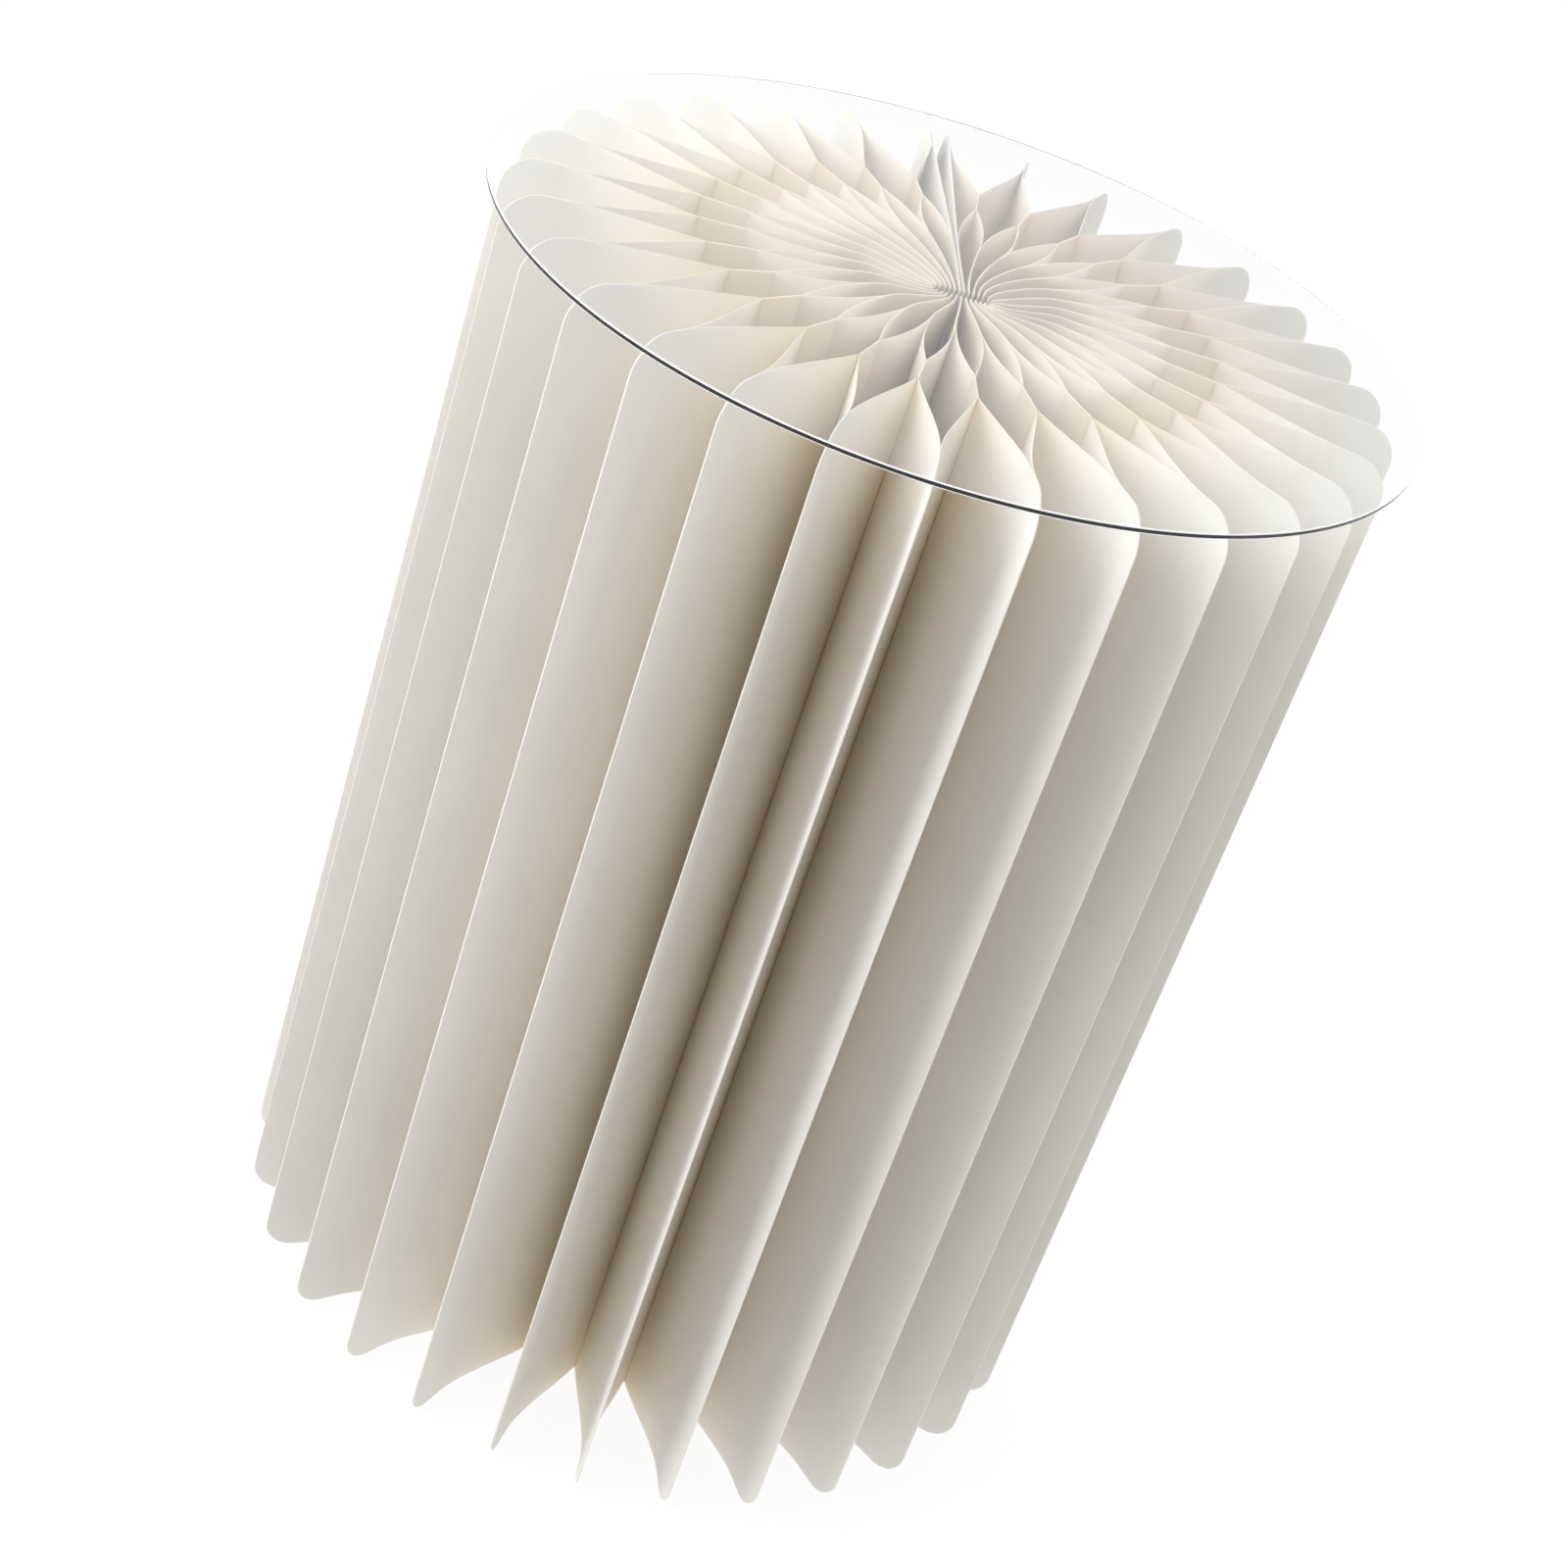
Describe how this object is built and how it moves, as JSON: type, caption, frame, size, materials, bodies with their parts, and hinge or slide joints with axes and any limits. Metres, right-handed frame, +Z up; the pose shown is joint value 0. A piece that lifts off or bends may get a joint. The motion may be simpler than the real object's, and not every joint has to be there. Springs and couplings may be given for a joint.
{
  "type": "honeycomb paper side table",
  "caption": "Side table: a fold-out honeycomb paper book that stands on its edges, opened all the way round, under a loose clear round top.",
  "frame": {"origin": "on the floor, under the middle of the round top and of the ring of leaves", "axes": "+Z up; +Y towards the seam where the two covers meet; +X to the right seen from the front (-Y)"},
  "size_m": [0.345, 0.345, 0.4523],
  "materials": {
    "honeycomb_paper": "matte",
    "cover_paper": "matte",
    "clear_acrylic": "polished"
  },
  "bodies": {
    "top": {"clear_top_disc": "clear_acrylic"},
    "left_cover_leaf": {"left_cover": "cover_paper"},
    "leaf_02": {"leaf_02_sheet_a": "honeycomb_paper", "leaf_02_sheet_b": "honeycomb_paper"},
    "leaf_03": {"leaf_03_sheet_a": "honeycomb_paper", "leaf_03_sheet_b": "honeycomb_paper"},
    "leaf_04": {"leaf_04_sheet_a": "honeycomb_paper", "leaf_04_sheet_b": "honeycomb_paper"},
    "leaf_05": {"leaf_05_sheet_a": "honeycomb_paper", "leaf_05_sheet_b": "honeycomb_paper"},
    "leaf_06": {"leaf_06_sheet_a": "honeycomb_paper", "leaf_06_sheet_b": "honeycomb_paper"},
    "leaf_07": {"leaf_07_sheet_a": "honeycomb_paper", "leaf_07_sheet_b": "honeycomb_paper"},
    "leaf_08": {"leaf_08_sheet_a": "honeycomb_paper", "leaf_08_sheet_b": "honeycomb_paper"},
    "leaf_09": {"leaf_09_sheet_a": "honeycomb_paper", "leaf_09_sheet_b": "honeycomb_paper"},
    "leaf_10": {"leaf_10_sheet_a": "honeycomb_paper", "leaf_10_sheet_b": "honeycomb_paper"},
    "leaf_11": {"leaf_11_sheet_a": "honeycomb_paper", "leaf_11_sheet_b": "honeycomb_paper"},
    "leaf_12": {"leaf_12_sheet_a": "honeycomb_paper", "leaf_12_sheet_b": "honeycomb_paper"},
    "leaf_13": {"leaf_13_sheet_a": "honeycomb_paper", "leaf_13_sheet_b": "honeycomb_paper"},
    "leaf_14": {"leaf_14_sheet_a": "honeycomb_paper", "leaf_14_sheet_b": "honeycomb_paper"},
    "leaf_15": {"leaf_15_sheet_a": "honeycomb_paper", "leaf_15_sheet_b": "honeycomb_paper"},
    "leaf_16": {"leaf_16_sheet_a": "honeycomb_paper", "leaf_16_sheet_b": "honeycomb_paper"},
    "leaf_17": {"leaf_17_sheet_a": "honeycomb_paper", "leaf_17_sheet_b": "honeycomb_paper"},
    "leaf_18": {"leaf_18_sheet_a": "honeycomb_paper", "leaf_18_sheet_b": "honeycomb_paper"},
    "leaf_19": {"leaf_19_sheet_a": "honeycomb_paper", "leaf_19_sheet_b": "honeycomb_paper"},
    "leaf_20": {"leaf_20_sheet_a": "honeycomb_paper", "leaf_20_sheet_b": "honeycomb_paper"},
    "leaf_21": {"leaf_21_sheet_a": "honeycomb_paper", "leaf_21_sheet_b": "honeycomb_paper"},
    "leaf_22": {"leaf_22_sheet_a": "honeycomb_paper", "leaf_22_sheet_b": "honeycomb_paper"},
    "leaf_23": {"leaf_23_sheet_a": "honeycomb_paper", "leaf_23_sheet_b": "honeycomb_paper"},
    "leaf_24": {"leaf_24_sheet_a": "honeycomb_paper", "leaf_24_sheet_b": "honeycomb_paper"},
    "leaf_25": {"leaf_25_sheet_a": "honeycomb_paper", "leaf_25_sheet_b": "honeycomb_paper"},
    "leaf_26": {"leaf_26_sheet_a": "honeycomb_paper", "leaf_26_sheet_b": "honeycomb_paper"},
    "leaf_27": {"leaf_27_sheet_a": "honeycomb_paper", "leaf_27_sheet_b": "honeycomb_paper"},
    "leaf_28": {"leaf_28_sheet_a": "honeycomb_paper", "leaf_28_sheet_b": "honeycomb_paper"},
    "leaf_29": {"leaf_29_sheet_a": "honeycomb_paper", "leaf_29_sheet_b": "honeycomb_paper"},
    "right_cover_leaf": {"right_cover": "cover_paper"}
  },
  "joints": [
    {"name": "book_fold", "type": "hinge", "parent": "leaf_15", "child": "leaf_16", "pos_m": [0, -0.00816, 0], "axis": [0, 0, -1], "range_deg": [0, 12.3], "deforming": ["leaf_15_sheet_a", "leaf_15_sheet_b", "leaf_16_sheet_a", "leaf_16_sheet_b"]},
    {"name": "fold_leaf_17", "type": "hinge", "parent": "leaf_16", "child": "leaf_17", "pos_m": [0.00174, -0.00797, 0], "axis": [0, 0, -1], "range_deg": [0, 12.3], "deforming": ["leaf_17_sheet_a", "leaf_17_sheet_b"]},
    {"name": "fold_leaf_18", "type": "hinge", "parent": "leaf_17", "child": "leaf_18", "pos_m": [0.0034, -0.00742, 0], "axis": [0, 0, -1], "range_deg": [0, 12.3], "deforming": ["leaf_18_sheet_a", "leaf_18_sheet_b"]},
    {"name": "fold_leaf_19", "type": "hinge", "parent": "leaf_18", "child": "leaf_19", "pos_m": [0.0049, -0.00652, 0], "axis": [0, 0, -1], "range_deg": [0, 12.3], "deforming": ["leaf_19_sheet_a", "leaf_19_sheet_b"]},
    {"name": "fold_leaf_20", "type": "hinge", "parent": "leaf_19", "child": "leaf_20", "pos_m": [0.00618, -0.00533, 0], "axis": [0, 0, -1], "range_deg": [0, 12.3], "deforming": ["leaf_20_sheet_a", "leaf_20_sheet_b"]},
    {"name": "fold_leaf_21", "type": "hinge", "parent": "leaf_20", "child": "leaf_21", "pos_m": [0.00717, -0.00389, 0], "axis": [0, 0, -1], "range_deg": [0, 12.3], "deforming": ["leaf_21_sheet_a", "leaf_21_sheet_b"]},
    {"name": "fold_leaf_22", "type": "hinge", "parent": "leaf_21", "child": "leaf_22", "pos_m": [0.00784, -0.00227, 0], "axis": [0, 0, -1], "range_deg": [0, 12.3], "deforming": ["leaf_22_sheet_a", "leaf_22_sheet_b"]},
    {"name": "fold_leaf_23", "type": "hinge", "parent": "leaf_22", "child": "leaf_23", "pos_m": [0.00814, -0.00055, 0], "axis": [0, 0, -1], "range_deg": [0, 12.3], "deforming": ["leaf_23_sheet_a", "leaf_23_sheet_b"]},
    {"name": "fold_leaf_24", "type": "hinge", "parent": "leaf_23", "child": "leaf_24", "pos_m": [0.00807, 0.0012, 0], "axis": [0, 0, -1], "range_deg": [0, 12.3], "deforming": ["leaf_24_sheet_a", "leaf_24_sheet_b"]},
    {"name": "fold_leaf_25", "type": "hinge", "parent": "leaf_24", "child": "leaf_25", "pos_m": [0.00763, 0.0029, 0], "axis": [0, 0, -1], "range_deg": [0, 12.3], "deforming": ["leaf_25_sheet_a", "leaf_25_sheet_b"]},
    {"name": "fold_leaf_26", "type": "hinge", "parent": "leaf_25", "child": "leaf_26", "pos_m": [0.00684, 0.00446, 0], "axis": [0, 0, -1], "range_deg": [0, 12.3], "deforming": ["leaf_26_sheet_a", "leaf_26_sheet_b"]},
    {"name": "fold_leaf_27", "type": "hinge", "parent": "leaf_26", "child": "leaf_27", "pos_m": [0.00573, 0.00581, 0], "axis": [0, 0, -1], "range_deg": [0, 12.3], "deforming": ["leaf_27_sheet_a", "leaf_27_sheet_b"]},
    {"name": "fold_leaf_28", "type": "hinge", "parent": "leaf_27", "child": "leaf_28", "pos_m": [0.00436, 0.0069, 0], "axis": [0, 0, -1], "range_deg": [0, 12.3], "deforming": ["leaf_28_sheet_a", "leaf_28_sheet_b"]},
    {"name": "fold_leaf_29", "type": "hinge", "parent": "leaf_28", "child": "leaf_29", "pos_m": [0.00279, 0.00767, 0], "axis": [0, 0, -1], "range_deg": [0, 12.3], "deforming": ["leaf_29_sheet_a", "leaf_29_sheet_b"]},
    {"name": "fold_right_cover", "type": "hinge", "parent": "leaf_29", "child": "right_cover_leaf", "pos_m": [0.00109, 0.00809, 0], "axis": [0, 0, -1], "range_deg": [0, 12.3], "deforming": ["right_cover"]},
    {"name": "fold_leaf_14", "type": "hinge", "parent": "leaf_15", "child": "leaf_14", "pos_m": [-0.00174, -0.00797, 0], "axis": [0, 0, 1], "range_deg": [0, 12.3], "deforming": ["leaf_14_sheet_a", "leaf_14_sheet_b"]},
    {"name": "fold_leaf_13", "type": "hinge", "parent": "leaf_14", "child": "leaf_13", "pos_m": [-0.0034, -0.00742, 0], "axis": [0, 0, 1], "range_deg": [0, 12.3], "deforming": ["leaf_13_sheet_a", "leaf_13_sheet_b"]},
    {"name": "fold_leaf_12", "type": "hinge", "parent": "leaf_13", "child": "leaf_12", "pos_m": [-0.0049, -0.00652, 0], "axis": [0, 0, 1], "range_deg": [0, 12.3], "deforming": ["leaf_12_sheet_a", "leaf_12_sheet_b"]},
    {"name": "fold_leaf_11", "type": "hinge", "parent": "leaf_12", "child": "leaf_11", "pos_m": [-0.00618, -0.00533, 0], "axis": [0, 0, 1], "range_deg": [0, 12.3], "deforming": ["leaf_11_sheet_a", "leaf_11_sheet_b"]},
    {"name": "fold_leaf_10", "type": "hinge", "parent": "leaf_11", "child": "leaf_10", "pos_m": [-0.00717, -0.00389, 0], "axis": [0, 0, 1], "range_deg": [0, 12.3], "deforming": ["leaf_10_sheet_a", "leaf_10_sheet_b"]},
    {"name": "fold_leaf_09", "type": "hinge", "parent": "leaf_10", "child": "leaf_09", "pos_m": [-0.00784, -0.00227, 0], "axis": [0, 0, 1], "range_deg": [0, 12.3], "deforming": ["leaf_09_sheet_a", "leaf_09_sheet_b"]},
    {"name": "fold_leaf_08", "type": "hinge", "parent": "leaf_09", "child": "leaf_08", "pos_m": [-0.00814, -0.00055, 0], "axis": [0, 0, 1], "range_deg": [0, 12.3], "deforming": ["leaf_08_sheet_a", "leaf_08_sheet_b"]},
    {"name": "fold_leaf_07", "type": "hinge", "parent": "leaf_08", "child": "leaf_07", "pos_m": [-0.00807, 0.0012, 0], "axis": [0, 0, 1], "range_deg": [0, 12.3], "deforming": ["leaf_07_sheet_a", "leaf_07_sheet_b"]},
    {"name": "fold_leaf_06", "type": "hinge", "parent": "leaf_07", "child": "leaf_06", "pos_m": [-0.00763, 0.0029, 0], "axis": [0, 0, 1], "range_deg": [0, 12.3], "deforming": ["leaf_06_sheet_a", "leaf_06_sheet_b"]},
    {"name": "fold_leaf_05", "type": "hinge", "parent": "leaf_06", "child": "leaf_05", "pos_m": [-0.00684, 0.00446, 0], "axis": [0, 0, 1], "range_deg": [0, 12.3], "deforming": ["leaf_05_sheet_a", "leaf_05_sheet_b"]},
    {"name": "fold_leaf_04", "type": "hinge", "parent": "leaf_05", "child": "leaf_04", "pos_m": [-0.00573, 0.00581, 0], "axis": [0, 0, 1], "range_deg": [0, 12.3], "deforming": ["leaf_04_sheet_a", "leaf_04_sheet_b"]},
    {"name": "fold_leaf_03", "type": "hinge", "parent": "leaf_04", "child": "leaf_03", "pos_m": [-0.00436, 0.0069, 0], "axis": [0, 0, 1], "range_deg": [0, 12.3], "deforming": ["leaf_03_sheet_a", "leaf_03_sheet_b"]},
    {"name": "fold_leaf_02", "type": "hinge", "parent": "leaf_03", "child": "leaf_02", "pos_m": [-0.00279, 0.00767, 0], "axis": [0, 0, 1], "range_deg": [0, 12.3], "deforming": ["leaf_02_sheet_a", "leaf_02_sheet_b"]},
    {"name": "fold_left_cover", "type": "hinge", "parent": "leaf_02", "child": "left_cover_leaf", "pos_m": [-0.00109, 0.00809, 0], "axis": [0, 0, 1], "range_deg": [0, 12.3], "deforming": ["left_cover"]},
    {"name": "top_lift", "type": "slide", "parent": "leaf_15", "child": "top", "axis": [0, 0, 1], "range_m": [0, 0.25]}
  ],
  "couplings": [
    {"joint": "fold_leaf_17", "follows": "book_fold", "ratio": 1},
    {"joint": "fold_leaf_18", "follows": "book_fold", "ratio": 1},
    {"joint": "fold_leaf_19", "follows": "book_fold", "ratio": 1},
    {"joint": "fold_leaf_20", "follows": "book_fold", "ratio": 1},
    {"joint": "fold_leaf_21", "follows": "book_fold", "ratio": 1},
    {"joint": "fold_leaf_22", "follows": "book_fold", "ratio": 1},
    {"joint": "fold_leaf_23", "follows": "book_fold", "ratio": 1},
    {"joint": "fold_leaf_24", "follows": "book_fold", "ratio": 1},
    {"joint": "fold_leaf_25", "follows": "book_fold", "ratio": 1},
    {"joint": "fold_leaf_26", "follows": "book_fold", "ratio": 1},
    {"joint": "fold_leaf_27", "follows": "book_fold", "ratio": 1},
    {"joint": "fold_leaf_28", "follows": "book_fold", "ratio": 1},
    {"joint": "fold_leaf_29", "follows": "book_fold", "ratio": 1},
    {"joint": "fold_right_cover", "follows": "book_fold", "ratio": 1},
    {"joint": "fold_leaf_14", "follows": "book_fold", "ratio": 1},
    {"joint": "fold_leaf_13", "follows": "book_fold", "ratio": 1},
    {"joint": "fold_leaf_12", "follows": "book_fold", "ratio": 1},
    {"joint": "fold_leaf_11", "follows": "book_fold", "ratio": 1},
    {"joint": "fold_leaf_10", "follows": "book_fold", "ratio": 1},
    {"joint": "fold_leaf_09", "follows": "book_fold", "ratio": 1},
    {"joint": "fold_leaf_08", "follows": "book_fold", "ratio": 1},
    {"joint": "fold_leaf_07", "follows": "book_fold", "ratio": 1},
    {"joint": "fold_leaf_06", "follows": "book_fold", "ratio": 1},
    {"joint": "fold_leaf_05", "follows": "book_fold", "ratio": 1},
    {"joint": "fold_leaf_04", "follows": "book_fold", "ratio": 1},
    {"joint": "fold_leaf_03", "follows": "book_fold", "ratio": 1},
    {"joint": "fold_leaf_02", "follows": "book_fold", "ratio": 1},
    {"joint": "fold_left_cover", "follows": "book_fold", "ratio": 1}
  ]
}
